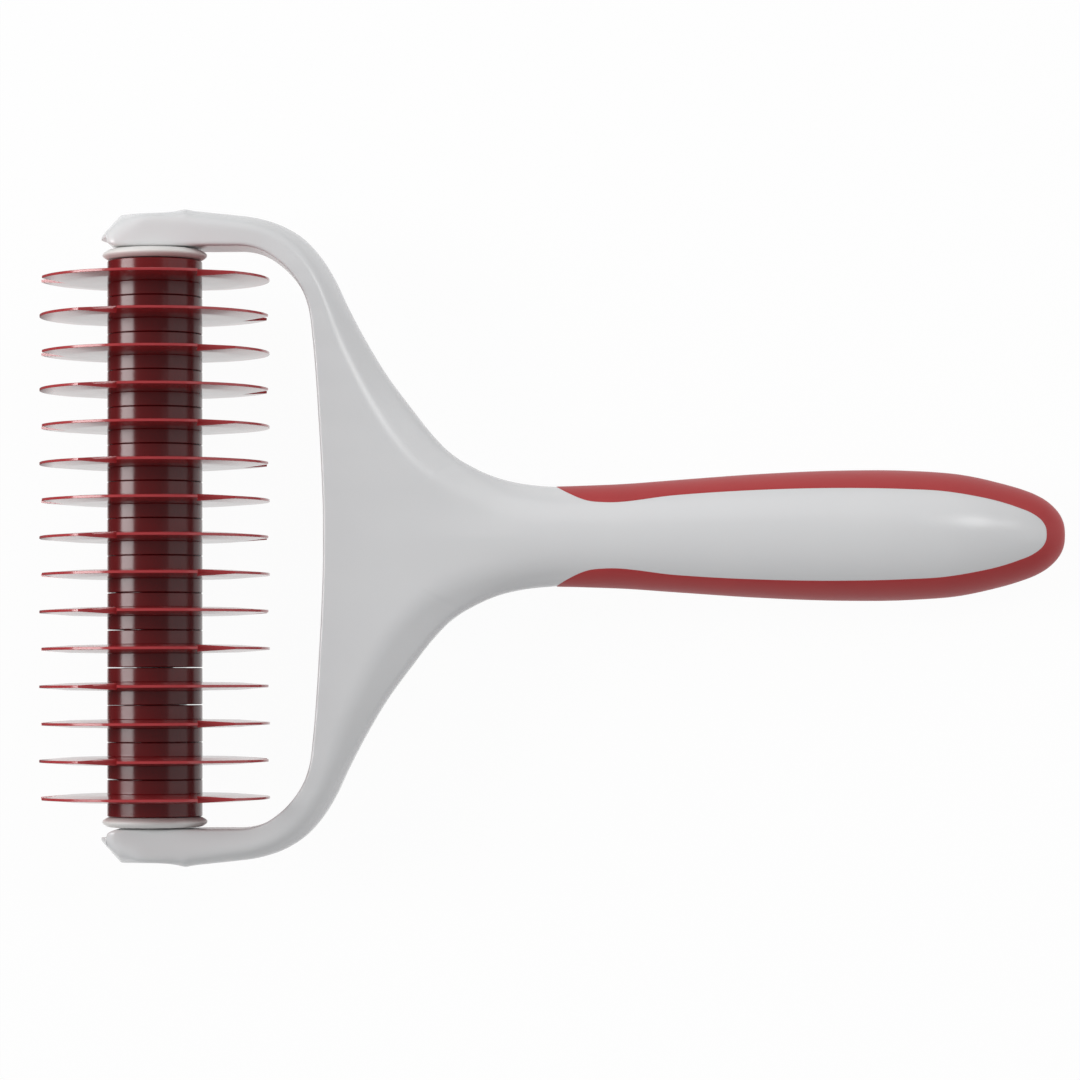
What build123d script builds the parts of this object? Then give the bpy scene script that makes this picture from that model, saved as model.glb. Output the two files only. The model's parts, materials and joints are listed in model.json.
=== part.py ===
"""Lattice roller cutter: a fork with a soft grip that carries a drum of notched blade wheels.

The origin is under the middle of the object, on the surface that the blades stand on. +X runs from
the drum to the handle's end, +Y along the drum's axis and +Z up, square to the fork.
"""

import os
from math import atan2, cos, degrees, radians, sin

from build123d import *

os.makedirs("parts", exist_ok=True)

# Driving sizes of the whole cutter
overall_length = 200.0
blade_radius = 22.4

# Blade wheels: how many, how far apart, and the section from hub to rim
blade_count = 15
blade_pitch = 7.24
rim_thickness = 0.5
bevel_root_thickness = 1.4
web_root_thickness = 1.7
hub_radius = 9.25
hub_wall = 1.5
boss_radius = 6.2
core_web_thickness = 1.8
seam_gap = 0.25
stack_play = 0.04

# Notches: three to a wheel, each a step along its tooth with a floor that runs out to the rim
notch_count = 3
notch_depth = 5.6
bevel_width = 5.6
notch_lead_angle = 20.0
notch_span_angle = 21.5
drum_rest_angle = 6.5

# Axle: six-sided inside the wheels, round where it runs in the fork's eyes
key_width = 7.0
key_clearance = 0.05
journal_radius = 3.0
journal_length = 4.8
journal_clearance = 0.05
journal_end_play = 0.4
journal_lead = 0.5

# End caps
cap_radius = 10.2
cap_thickness = 2.0
cap_rim_rounding = 0.95
cap_clearance = 0.3

# Eyes and arms of the fork
eye_radius = 10.4
eye_pad_radius = 6.2
eye_lip_width = 0.5
eye_step_radius = 8.8
eye_step_width = 1.0
eye_inner_radius = 7.2
eye_inner_chamfer = 0.7
eye_thickness = 6.7
arm_crest = 0.8
arm_ramp_depth = 0.5
arm_half_thickness = 7.0
arm_root_length = 26.0

# Fork plate, as seen from the front and in section
window_depth = 33.1
fork_length = 78.7
neck_half_width = 9.7
face_half_thickness = 6.3
edge_half_thickness = 3.4

# Handle, white panel and soft grip band
grip_half_width = 12.63
grip_half_thickness = 10.2
panel_half_width = 8.98
panel_tip_length = 78.2
panel_tip_half_width = 10.1
panel_end_margin = 3.4
cut_overrun = 1.0

# Places worked out from the sizes above
reach = overall_length - blade_radius
drum_x = -overall_length / 2 + blade_radius
drum_z = blade_radius
stack_half = blade_count * blade_pitch / 2
arm_inner = stack_half + cap_thickness + cap_clearance
arm_outer = arm_inner + eye_thickness
fork_half_width = arm_outer + arm_crest
journal_end = stack_half + cap_thickness + journal_length
eye_lip = arm_inner + eye_inner_chamfer + eye_step_width
ramp_foot = arm_outer - arm_ramp_depth
panel_length = reach - panel_tip_length - panel_end_margin

# The fork's outline from the arm's crest round the shoulder to the neck, as shares of fork_length
# and fork_half_width
outline_shares = [
    (0.079, 1.000),
    (0.180, 0.984),
    (0.287, 0.957),
    (0.355, 0.916),
    (0.409, 0.860),
    (0.449, 0.783),
    (0.486, 0.690),
    (0.573, 0.501),
    (0.690, 0.306),
    (0.807, 0.200),
]

# The crease between the flat face and the bevel, in the same shares
crease_shares = [
    (0.079, 0.972),
    (0.180, 0.958),
    (0.275, 0.928),
    (0.330, 0.893),
    (0.372, 0.846),
    (0.404, 0.790),
    (0.427, 0.744),
    (0.474, 0.557),
    (0.573, 0.320),
    (0.690, 0.184),
]
crease_neck_share = 0.70

# Where the faces begin to fall away into the neck, and how far they fall
fade_start_share = 0.62
fade_end_share = 0.45

# The window's outline from the arm to the middle of its back wall, as shares of window_depth and
# arm_inner
window_shares = [
    (0.553, 1.000),
    (0.680, 0.972),
    (0.800, 0.914),
    (0.880, 0.838),
    (0.929, 0.740),
    (0.958, 0.580),
    (0.982, 0.380),
]

# The handle's sections: place as a share of the handle's reach, half width and half thickness as
# shares of grip_half_width and grip_half_thickness
handle_shares = [
    (0.330, 0.640, 0.480),
    (0.372, 0.880, 0.640),
    (0.410, 0.790, 0.705),
    (0.443, 0.768, 0.745),
    (0.514, 0.804, 0.815),
    (0.575, 0.863, 0.885),
    (0.665, 0.950, 0.965),
    (0.755, 1.000, 1.000),
    (0.850, 0.978, 0.960),
    (0.896, 0.908, 0.890),
    (0.934, 0.780, 0.765),
    (0.965, 0.640, 0.620),
    (0.989, 0.410, 0.400),
    (1.000, 0.110, 0.100),
]

# Where the handle's top and bottom faces meet its sides, as an angle round each section
side_angle = 70.0

# The white panel's outline past the band's pointed tips: place from the tips to the panel's end and
# half width, as shares of the panel's length and panel_half_width
panel_shares = [
    (0.038, 0.915),
    (0.076, 0.760),
    (0.115, 0.717),
    (0.250, 0.868),
    (0.415, 0.968),
    (0.570, 1.000),
    (0.705, 0.973),
    (0.825, 0.880),
    (0.905, 0.690),
    (0.970, 0.440),
]

mid_plane = Plane(origin=(drum_x, 0, drum_z))
side_plane = Plane(origin=(drum_x, 0, drum_z), x_dir=(1, 0, 0), z_dir=(0, -1, 0))
drum_axis = Axis((drum_x, 0, drum_z), (0, 1, 0))
mirror_line = (sin(radians(drum_rest_angle)), 0, cos(radians(drum_rest_angle)))


def drum_plane(y, facing):
    """The plane across the drum at y, whose x runs along the notches' mirror line."""
    return Plane(origin=(drum_x, y, drum_z), x_dir=mirror_line, z_dir=(0, facing, 0))


def polar(radius, angle):
    """The point at a radius and an angle in degrees."""
    return (radius * cos(radians(angle)), radius * sin(radians(angle)))


# Blade wheels, each turned over against its neighbours
for number in range(1, blade_count + 1):
    wheel_y = stack_half - (number - 0.5) * blade_pitch
    facing = 1 if number % 2 else -1
    hub_half = (blade_pitch - seam_gap) / 2
    boss_half = (blade_pitch - stack_play) / 2
    bevel_radius = blade_radius - bevel_width

    with BuildPart() as blade:
        with BuildSketch(Plane(origin=(drum_x, wheel_y, drum_z))):
            with BuildLine():
                Polyline(
                    (0, boss_half),
                    (boss_radius, boss_half),
                    (boss_radius, core_web_thickness / 2),
                    (hub_radius - hub_wall, core_web_thickness / 2),
                    (hub_radius - hub_wall, hub_half),
                    (hub_radius, hub_half),
                    (hub_radius, web_root_thickness / 2),
                    (bevel_radius, bevel_root_thickness / 2),
                    (blade_radius, rim_thickness / 2),
                    (blade_radius, -rim_thickness / 2),
                    (bevel_radius, -bevel_root_thickness / 2),
                    (hub_radius, -web_root_thickness / 2),
                    (hub_radius, -hub_half),
                    (hub_radius - hub_wall, -hub_half),
                    (hub_radius - hub_wall, -core_web_thickness / 2),
                    (boss_radius, -core_web_thickness / 2),
                    (boss_radius, -boss_half),
                    (0, -boss_half),
                    close=True,
                )
            make_face()
        revolve(axis=drum_axis)

        # Six-sided bore that keys the wheel to the axle
        with BuildSketch(drum_plane(wheel_y, facing)):
            RegularPolygon(key_width / 2 + key_clearance, 6, major_radius=False)
        extrude(amount=blade_pitch, both=True, mode=Mode.SUBTRACT)

        # Saw-tooth notches, whose step runs along the tooth's middle line
        step_x, step_y = polar(blade_radius, notch_lead_angle)
        with BuildSketch(drum_plane(wheel_y, facing)):
            with PolarLocations(0, notch_count):
                with BuildLine():
                    Polyline(
                        (step_x - notch_depth, step_y),
                        (blade_radius + notch_depth, step_y),
                        polar(blade_radius + notch_depth, notch_lead_angle + notch_span_angle),
                        polar(blade_radius, notch_lead_angle + notch_span_angle),
                        close=True,
                    )
                make_face()
        extrude(amount=blade_pitch, both=True, mode=Mode.SUBTRACT)

    name = f"blade_{number:02d}"
    blade.part.label = name
    export_step(blade.part, f"parts/{name}.step")

# Axle: a six-sided shaft through wheels and caps, with a round journal at each end
with BuildPart() as drum_axle:
    with BuildSketch(drum_plane(0, 1)):
        RegularPolygon(key_width / 2, 6, major_radius=False)
    extrude(amount=stack_half + cap_thickness, both=True)
    with BuildSketch(drum_plane(0, 1)):
        Circle(journal_radius)
    extrude(amount=journal_end, both=True)
    chamfer(
        drum_axle.faces().group_by(Axis.Y)[0].edges() + drum_axle.faces().group_by(Axis.Y)[-1].edges(),
        journal_lead,
    )
drum_axle.part.label = "drum_axle"
export_step(drum_axle.part, "parts/drum_axle.step")

# End caps: flanges with a rounded outer rim, keyed to the axle
for name, side in (("left_end_cap", -1), ("right_end_cap", 1)):
    with BuildPart() as cap:
        with BuildSketch(drum_plane(side * stack_half, side)):
            Circle(cap_radius)
        extrude(amount=cap_thickness)
        fillet(cap.edges().filter_by(GeomType.CIRCLE), cap_rim_rounding)
        with BuildSketch(drum_plane(side * stack_half, side)):
            RegularPolygon(key_width / 2 + key_clearance, 6, major_radius=False)
        extrude(amount=cap_thickness, mode=Mode.SUBTRACT)
    cap.part.label = name
    export_step(cap.part, f"parts/{name}.step")

# Fork plate: a straight rim, and on each side a crown whose bevel runs up to the crease
outline_points = [(x * fork_length, y * fork_half_width) for x, y in outline_shares]
outline_points.append((fork_length, neck_half_width))
crease_points = [(x * fork_length, y * fork_half_width) for x, y in crease_shares]
crease_points.append((fork_length, crease_neck_share * neck_half_width))
crease_inset = outline_points[0][1] - crease_points[0][1]
bevel_angle = degrees(atan2(crease_inset, face_half_thickness - edge_half_thickness))
fade_start = (fade_start_share * fork_length, face_half_thickness)
fade_end = (fork_length, fade_end_share * face_half_thickness)

# The window between the arms, as seen from the front
window_points = [(x * window_depth, y * arm_inner) for x, y in window_shares]
window_points.append((window_depth, 0))
with BuildSketch(mid_plane) as window_outline:
    with BuildLine():
        Polyline((-eye_radius, 0), (-eye_radius, arm_inner), window_points[0])
        Spline(window_points, tangents=[(1, 0), (0, -1)])
        mirror(about=Plane.XZ)
    make_face()

with BuildPart() as fork_plate:
    for side in (-1, 1):
        for height, points, inset in (
            (0, outline_points, 0),
            (edge_half_thickness, outline_points, 0),
            (face_half_thickness, crease_points, crease_inset),
        ):
            with BuildSketch(mid_plane.offset(side * height)):
                with BuildLine():
                    Spline(points, tangents=[(1, 0), (1, 0)])
                    Line(points[-1], (fork_length, 0))
                    Polyline((0, 0), (0, ramp_foot - inset), points[0])
                    mirror(about=Plane.XZ)
                make_face()
        loft(ruled=True)

    # Both faces fall away into the neck
    with BuildSketch(side_plane):
        with BuildLine():
            Polyline((0, 0), (0, face_half_thickness), fade_start)
            Spline(fade_start, fade_end, tangents=[(1, 0), (2, -1)])
            Line(fade_end, (fork_length, 0))
            mirror(about=Plane.XZ)
        make_face()
    extrude(amount=fork_half_width, both=True, mode=Mode.INTERSECT)
    extrude(window_outline.sketch, amount=eye_radius, both=True, mode=Mode.SUBTRACT)

# Eyes: a flat pad and a conical bevel outside, a stepped and chamfered face inside
with BuildPart() as eyes:
    with BuildSketch(mid_plane):
        with BuildLine():
            Polyline(
                (0, arm_inner),
                (eye_inner_radius, arm_inner),
                (eye_step_radius, arm_inner + eye_inner_chamfer),
                (eye_step_radius, eye_lip),
                (eye_radius, eye_lip),
                (eye_radius, eye_lip + eye_lip_width),
                (eye_pad_radius, arm_outer),
                (0, arm_outer),
                close=True,
            )
        make_face()
    revolve(axis=drum_axis)
    mirror(about=Plane.XZ)

# Arms that carry the plate's bevel on to the eyes, with one pair of faces over arms and eyes
with BuildPart() as arms:
    for side in (-1, 1):
        with BuildSketch(mid_plane.offset(side * edge_half_thickness)):
            with BuildLine():
                Polyline((0, 0), (0, ramp_foot), *outline_points[:4], (outline_points[3][0], 0))
                mirror(about=Plane.XZ)
            make_face()
        extrude(amount=side * (eye_radius - edge_half_thickness), taper=bevel_angle)
    extrude(window_outline.sketch, amount=eye_radius, both=True, mode=Mode.SUBTRACT)
    add(eyes.part)
    with BuildSketch(side_plane):
        with BuildLine():
            Polyline(
                (-eye_radius, 0),
                (-eye_radius, arm_half_thickness),
                (eye_radius, arm_half_thickness),
                (arm_root_length, face_half_thickness),
                (arm_root_length, 0),
            )
            mirror(about=Plane.XZ)
        make_face()
    extrude(amount=fork_half_width, both=True, mode=Mode.INTERSECT)

# Handle form: rounded sections along the handle, closed by its blunt end
with BuildPart() as handle_form:
    for place, width, thickness in handle_shares:
        with BuildSketch(
            Plane(origin=(drum_x + place * reach, 0, drum_z), x_dir=(0, 1, 0), z_dir=(1, 0, 0))
        ):
            with BuildLine():
                for start, size in (
                    (-side_angle, 2 * side_angle),
                    (side_angle, 180 - 2 * side_angle),
                    (180 - side_angle, 2 * side_angle),
                    (180 + side_angle, 180 - 2 * side_angle),
                ):
                    EllipticalCenterArc(
                        (0, 0),
                        width * grip_half_width,
                        thickness * grip_half_thickness,
                        start_angle=start,
                        arc_size=size,
                    )
            make_face()
    loft()

# What lies outside the white panel as seen from the front, from the band's pointed tips round the
# handle's end
panel_points = [
    (panel_tip_length + place * panel_length, width * panel_half_width)
    for place, width in panel_shares
]
panel_tip = (panel_tip_length, panel_tip_half_width)
panel_end = (panel_tip_length + panel_length, 0)
with BuildSketch(mid_plane) as band_outline:
    with BuildLine():
        Spline([panel_tip] + panel_points + [panel_end], tangents=[(2, -1), (0, -1)])
        Polyline(
            panel_tip,
            (panel_tip_length, grip_half_width + cut_overrun),
            (reach + cut_overrun, grip_half_width + cut_overrun),
            (reach + cut_overrun, 0),
        )
        mirror(about=Plane.XZ)
    make_face()

# Soft band: what the handle has outside the panel, round both sides and the end
with BuildPart() as grip_band:
    add(handle_form.part)
    extrude(
        band_outline.sketch, amount=grip_half_thickness + cut_overrun, both=True, mode=Mode.INTERSECT
    )
grip_band.part.label = "grip_band"
export_step(grip_band.part, "parts/grip_band.step")

# Fork and handle in one moulding: the plate with its arms, the blind bores that the axle's journals
# run in, and the handle's core under the band
with BuildPart() as fork_handle:
    add(fork_plate.part)
    add(arms.part)
    for side in (-1, 1):
        with BuildSketch(drum_plane(side * arm_inner, side)):
            Circle(journal_radius + journal_clearance)
        extrude(amount=journal_end + journal_end_play - arm_inner, mode=Mode.SUBTRACT)
    add(handle_form.part)
    extrude(
        band_outline.sketch, amount=grip_half_thickness + cut_overrun, both=True, mode=Mode.SUBTRACT
    )
fork_handle.part.label = "fork_handle"
export_step(fork_handle.part, "parts/fork_handle.step")
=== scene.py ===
"""Looks of the lattice roller cutter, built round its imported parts."""

import json
import logging
import math
from dataclasses import dataclass, field, replace
from enum import Enum

import bmesh
import bpy
from mathutils import Matrix, Vector

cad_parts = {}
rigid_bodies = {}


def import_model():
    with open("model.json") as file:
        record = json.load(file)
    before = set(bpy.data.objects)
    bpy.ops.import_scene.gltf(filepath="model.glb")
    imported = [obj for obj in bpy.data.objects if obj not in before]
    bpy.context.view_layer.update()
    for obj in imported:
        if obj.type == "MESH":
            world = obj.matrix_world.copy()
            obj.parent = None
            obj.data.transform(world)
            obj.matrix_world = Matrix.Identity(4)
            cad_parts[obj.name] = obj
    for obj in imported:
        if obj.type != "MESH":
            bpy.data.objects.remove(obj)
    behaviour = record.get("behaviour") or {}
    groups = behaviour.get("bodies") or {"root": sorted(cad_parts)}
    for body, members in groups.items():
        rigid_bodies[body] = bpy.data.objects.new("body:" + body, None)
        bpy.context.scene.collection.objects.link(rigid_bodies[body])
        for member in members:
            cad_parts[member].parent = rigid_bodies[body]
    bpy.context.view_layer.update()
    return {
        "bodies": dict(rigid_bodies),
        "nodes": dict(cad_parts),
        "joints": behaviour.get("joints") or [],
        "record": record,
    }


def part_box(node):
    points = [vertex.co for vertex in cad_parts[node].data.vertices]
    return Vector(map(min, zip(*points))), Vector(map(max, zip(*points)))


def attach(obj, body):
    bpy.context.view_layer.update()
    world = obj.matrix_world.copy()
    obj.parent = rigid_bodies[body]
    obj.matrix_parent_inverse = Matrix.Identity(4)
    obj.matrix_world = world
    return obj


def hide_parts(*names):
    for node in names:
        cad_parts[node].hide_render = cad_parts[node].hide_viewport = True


LOG = logging.getLogger("roller_cutter")
MM = 0.001
IMAGE_SIDE = 1080
# Share of a path's straight side that one corner's rounding may take
MOST_OF_A_SIDE = 0.45
# Millimetres up to which points count as the same, in one mesh and where two halves meet
WELD = 0.002
HALVES_WELD = 0.01
# Keeps a length above zero where something is divided by it
TINY = 1e-9
# Angle in degrees above which an edge stays crisp
CRISP_ANGLE = 40.0
# Where a Mix node takes its two colours, and where it gives the mixed one
COLOUR_A, COLOUR_B, MIXED_COLOUR = 6, 7, 2


class Side(Enum):
    """The two sides of the cutter, across the drum's axis."""

    LEFT = -1
    RIGHT = 1


# Curves and meshes


def smooth_path(points: list[tuple[float, ...]], steps: int) -> list[Vector]:
    """Runs a smooth curve through every point.

    Args:
        points: What the curve passes through; each may hold any count of values.
        steps: Stretches that each span between two points is divided into.

    Returns:
        Points along the curve, the given ones among them.
    """
    rows = [Vector(p) for p in points]
    first, last = 2 * rows[0] - rows[1], 2 * rows[-1] - rows[-2]
    padded = [first, *rows, last]
    path = []
    for i in range(1, len(padded) - 2):
        p0, p1, p2, p3 = padded[i - 1 : i + 3]
        span = max((p2 - p1).length, TINY)
        before, after = max((p1 - p0).length, TINY), max((p3 - p2).length, TINY)
        m1 = ((p1 - p0) / before - (p2 - p0) / (before + span)) * span + (p2 - p1)
        m2 = ((p3 - p2) / after - (p3 - p1) / (span + after)) * span + (p2 - p1)
        for k in range(steps):
            t = k / steps
            path.append(
                (2 * t**3 - 3 * t**2 + 1) * p1
                + (t**3 - 2 * t**2 + t) * m1
                + (3 * t**2 - 2 * t**3) * p2
                + (t**3 - t**2) * m2
            )
    return [*path, rows[-1]]


def rounded_path(corners: list[Vector], radii: list[float], steps: list[int]) -> list[Vector]:
    """Rounds the inner corners of a path.

    Args:
        corners: The path's corners, its two ends included.
        radii: How far from each inner corner its rounding begins.
        steps: Stretches of each straight run and of each rounding, in turn along the path.

    Returns:
        Points along the rounded path.
    """
    path = [corners[0]]
    for i, radius in enumerate(radii, start=1):
        corner = corners[i]
        back, ahead = corners[i - 1] - corner, corners[i + 1] - corner
        start = corner + back.normalized() * min(radius, MOST_OF_A_SIDE * back.length)
        end = corner + ahead.normalized() * min(radius, MOST_OF_A_SIDE * ahead.length)
        run, bend = steps[2 * i - 2], steps[2 * i - 1]
        path += [path[-1].lerp(start, k / run) for k in range(1, run + 1)]
        path += [
            start.lerp(corner, k / bend).lerp(corner.lerp(end, k / bend), k / bend)
            for k in range(1, bend + 1)
        ]
    return path + [path[-1].lerp(corners[-1], k / steps[-1]) for k in range(1, steps[-1] + 1)]


def skin(bm: bmesh.types.BMesh, rungs: list[list[Vector]]) -> None:
    """Draws a first rung and extrudes it from rung to rung.

    Args:
        bm: The mesh that gets the skin.
        rungs: Rows of points, all of one length.
    """
    row = [bm.verts.new(p) for p in rungs[0]]
    edges = [bm.edges.new(pair) for pair in zip(row, row[1:])]
    for rung in rungs[1:]:
        grown = bmesh.ops.extrude_edge_only(bm, edges=edges)["geom"]
        fresh = {v for v in grown if isinstance(v, bmesh.types.BMVert)}
        follows = {}
        for v in fresh:
            for e in v.link_edges:
                other = e.other_vert(v)
                if other in row:
                    follows[other] = v
        row = [follows[v] for v in row]
        for v, p in zip(row, rung):
            v.co = p
        edges = [bm.edges.get(pair) for pair in zip(row, row[1:])]


def mirrored(bm: bmesh.types.BMesh, centre: Vector, axis: str) -> None:
    """Adds the mirror image of everything in a mesh and welds the two along the plane.

    Args:
        bm: The mesh.
        centre: A point on the mirror's plane.
        axis: X, Y or Z, square to the plane.
    """
    bmesh.ops.mirror(
        bm,
        geom=bm.verts[:] + bm.edges[:] + bm.faces[:],
        matrix=Matrix.Translation(-centre),
        merge_dist=HALVES_WELD * MM,
        axis=axis,
    )
    bmesh.ops.remove_doubles(bm, verts=bm.verts[:], dist=HALVES_WELD * MM)


def spun(
    bm: bmesh.types.BMesh, profile: list[tuple[float, float]], centre: Vector, steps: int
) -> None:
    """Turns a profile a full round about the line through centre along Y.

    Args:
        bm: The mesh that gets the turned form.
        profile: Radius and place along Y of each point, both from centre, in metres.
        centre: The origin of the profile.
        steps: Facets round the form.
    """
    row = [bm.verts.new(centre + Vector((0, y, r))) for r, y in profile]
    edges = [bm.edges.new(pair) for pair in zip(row, row[1:])]
    bmesh.ops.spin(
        bm,
        geom=row + edges,
        cent=centre,
        axis=(0, 1, 0),
        angle=2 * math.pi,
        steps=steps,
        use_merge=True,
    )


def turned_profile(points: list[tuple[float, float]], radius: float) -> list[tuple[float, float]]:
    """Rounds the corners of a turned form's profile.

    Args:
        points: Radius and place along the axis of each corner.
        radius: The rounding of every inner corner.

    Returns:
        The rounded profile's points.
    """
    corners = [Vector((r, y, 0)) for r, y in points]
    count = len(points) - 2
    # One stretch on each straight run and three on each rounding
    steps = [1, 3] * count + [1]
    path = rounded_path(corners, [radius] * count, steps)
    return [(p.x, p.y) for p in path]


def finished(bm: bmesh.types.BMesh, name: str, sharp: float = CRISP_ANGLE) -> bpy.types.Object:
    """Closes a mesh off into an object.

    Args:
        bm: The mesh, which is freed.
        name: The object's name.
        sharp: Angle in degrees above which an edge stays crisp.

    Returns:
        The new object, at the origin, in the scene.
    """
    bmesh.ops.remove_doubles(bm, verts=bm.verts[:], dist=WELD * MM)
    bmesh.ops.dissolve_degenerate(bm, dist=WELD / 2 * MM, edges=bm.edges[:])
    bmesh.ops.recalc_face_normals(bm, faces=bm.faces[:])
    mesh = bpy.data.meshes.new(name)
    bm.to_mesh(mesh)
    bm.free()
    mesh.shade_smooth()
    mesh.set_sharp_from_angle(angle=math.radians(sharp))
    piece = bpy.data.objects.new(name, mesh)
    bpy.context.scene.collection.objects.link(piece)
    return piece


# Materials


def linear(code: str) -> tuple[float, float, float, float]:
    """Turns an sRGB colour into the linear values that shaders take.

    Args:
        code: The colour's six hex digits.

    Returns:
        Red, green, blue and a full alpha.
    """
    parts = [int(code[i : i + 2], 16) / 255 for i in (0, 2, 4)]
    return (*[c / 12.92 if c <= 0.04045 else ((c + 0.055) / 1.055) ** 2.4 for c in parts], 1.0)


def add_node(
    tree: bpy.types.NodeTree, kind: str, settings: dict | None = None, links: dict | None = None
) -> bpy.types.Node:
    """Adds one node with its settings and incoming links.

    Args:
        tree: The node tree.
        kind: The node's type.
        settings: Values by input name or number, or else by property name.
        links: Outgoing sockets by input name or number.

    Returns:
        The new node.
    """
    made = tree.nodes.new(kind)
    for key, value in (settings or {}).items():
        if isinstance(key, int) or key in made.inputs:
            made.inputs[key].default_value = value
        else:
            setattr(made, key, value)
    for key, socket in (links or {}).items():
        tree.links.new(socket, made.inputs[key])
    return made


@dataclass(frozen=True)
class MouldedPlastic:
    """A moulded plastic or rubber: its colour, gloss and grain.

    The colour drifts between colour and shade, and the gloss between the two values of
    roughness, in clouds of cloud_mm. A grain of grain_mm stands grain_depth_mm high. Where a
    rim colour is given, the colour turns to it over a span of radii from the axle: a painted
    glow of light shining through the rims, where the plastic thins.
    """

    name: str
    colour: str
    shade: str
    roughness: tuple[float, float]
    cloud_mm: float
    grain_mm: float
    grain_depth_mm: float
    coat: float = 0.0
    sheen: float = 0.0
    scatter: float = 0.0
    level: float = 0.5
    painted_rim_glow: str = ""
    painted_glow_span_mm: tuple[float, float] = (0.0, 0.0)
    axle: tuple[float, float] = (0.0, 0.0)
    # What all these plastics share
    cloud_detail: float = 3.0
    grain_detail: float = 2.0
    grain_strength: float = 0.5
    ior: float = 1.5
    coat_roughness: float = 0.12
    scatter_mm: float = 1.0
    scatter_reach: tuple[float, float, float] = (1.0, 0.9, 0.8)

    def painted_glow_share(
        self, tree: bpy.types.NodeTree, place: bpy.types.NodeSocket
    ) -> bpy.types.NodeSocket:
        """Grows from 0 to 1 from a wheel's thick middle out to its rim, where the painted glow is
        full.

        Args:
            tree: The node tree.
            place: Object coordinates.

        Returns:
            The growing value's socket.
        """
        centre = (self.axle[0], 0.0, self.axle[1])
        away = add_node(
            tree, "ShaderNodeVectorMath", {"operation": "SUBTRACT", 1: centre}, {0: place}
        ).outputs[0]
        flat = add_node(
            tree, "ShaderNodeVectorMath", {"operation": "MULTIPLY", 1: (1, 0, 1)}, {0: away}
        ).outputs[0]
        radius = add_node(tree, "ShaderNodeVectorMath", {"operation": "LENGTH"}, {0: flat})
        span = {"From Min": self.painted_glow_span_mm[0] * MM, "From Max": self.painted_glow_span_mm[1] * MM}
        return add_node(
            tree, "ShaderNodeMapRange", span, {"Value": radius.outputs["Value"]}
        ).outputs["Result"]

    def build(self) -> bpy.types.Material:
        """Makes the material: cloudy colour and gloss, and a fine moulded grain as bump.

        Returns:
            The new material.
        """
        material = bpy.data.materials.new(self.name)
        material.use_nodes = True
        tree = material.node_tree
        tree.nodes.clear()
        place = add_node(tree, "ShaderNodeTexCoord").outputs["Object"]
        cloud = add_node(
            tree,
            "ShaderNodeTexNoise",
            {"Scale": 1 / (self.cloud_mm * MM), "Detail": self.cloud_detail},
            {"Vector": place},
        )
        colours = {COLOUR_A: linear(self.shade), COLOUR_B: linear(self.colour)}
        tint = add_node(
            tree, "ShaderNodeMix", {"data_type": "RGBA", **colours}, {0: cloud.outputs["Fac"]}
        ).outputs[MIXED_COLOUR]
        # Towards the rims the colour turns lighter: a painted glow of light through the plastic
        if self.painted_rim_glow:
            tint = add_node(
                tree,
                "ShaderNodeMix",
                {"data_type": "RGBA", COLOUR_B: linear(self.painted_rim_glow)},
                {0: self.painted_glow_share(tree, place), COLOUR_A: tint},
            ).outputs[MIXED_COLOUR]
        gloss = add_node(
            tree,
            "ShaderNodeMapRange",
            {"To Min": self.roughness[0], "To Max": self.roughness[1]},
            {"Value": cloud.outputs["Fac"]},
        )
        grain = add_node(
            tree,
            "ShaderNodeTexNoise",
            {"Scale": 1 / (self.grain_mm * MM), "Detail": self.grain_detail},
            {"Vector": place},
        )
        bump = add_node(
            tree,
            "ShaderNodeBump",
            {"Strength": self.grain_strength, "Distance": self.grain_depth_mm * MM},
            {"Height": grain.outputs["Fac"]},
        )
        shader = add_node(
            tree,
            "ShaderNodeBsdfPrincipled",
            {
                "IOR": self.ior,
                "Specular IOR Level": self.level,
                "Coat Weight": self.coat,
                "Coat Roughness": self.coat_roughness,
                "Sheen Weight": self.sheen,
                "Subsurface Weight": self.scatter,
                "Subsurface Radius": self.scatter_reach,
                "Subsurface Scale": self.scatter_mm * MM,
            },
            {
                "Base Color": tint,
                "Roughness": gloss.outputs["Result"],
                "Normal": bump.outputs["Normal"],
            },
        )
        add_node(tree, "ShaderNodeOutputMaterial", links={"Surface": shader.outputs["BSDF"]})
        return material


# Glossy white styrene copolymer: even, bright, with soft window-like reflections
WHITE_ABS = MouldedPlastic(
    "white_abs",
    colour="E1E1E1",
    shade="DCDCDD",
    roughness=(0.22, 0.28),
    cloud_mm=18.0,
    grain_mm=0.5,
    grain_depth_mm=0.003,
    scatter=0.05,
)
# Same plastic on the small turned parts, a little duller from handling, and a lighter, warmer
# white: painted light on the caps
BRIGHTENED_TRIM_ABS = MouldedPlastic(
    "brightened_trim_abs",
    colour="E9E7E4",
    shade="E2E0DD",
    roughness=(0.32, 0.42),
    cloud_mm=6.0,
    grain_mm=0.4,
    grain_depth_mm=0.004,
)
# Soft-touch thermoplastic rubber: satin, with a fine spark-eroded grain
RED_RUBBER = MouldedPlastic(
    "red_soft_rubber",
    colour="B43A3B",
    shade="A93436",
    roughness=(0.44, 0.54),
    cloud_mm=9.0,
    grain_mm=0.22,
    grain_depth_mm=0.02,
    sheen=0.03,
    level=0.42,
)
# Polished red polypropylene, crisp reflections at a low angle: brighter towards the rims, where
# the plastic thins, a painted glow of light shining through them
RED_POLYPROPYLENE = MouldedPlastic(
    "red_polypropylene",
    colour="A42B2F",
    shade="99272B",
    roughness=(0.12, 0.19),
    cloud_mm=5.0,
    grain_mm=0.6,
    grain_depth_mm=0.002,
    coat=0.15,
    scatter=0.15,
    painted_rim_glow="AC393D",
    painted_glow_span_mm=(16.8, 22.4),
)
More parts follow.
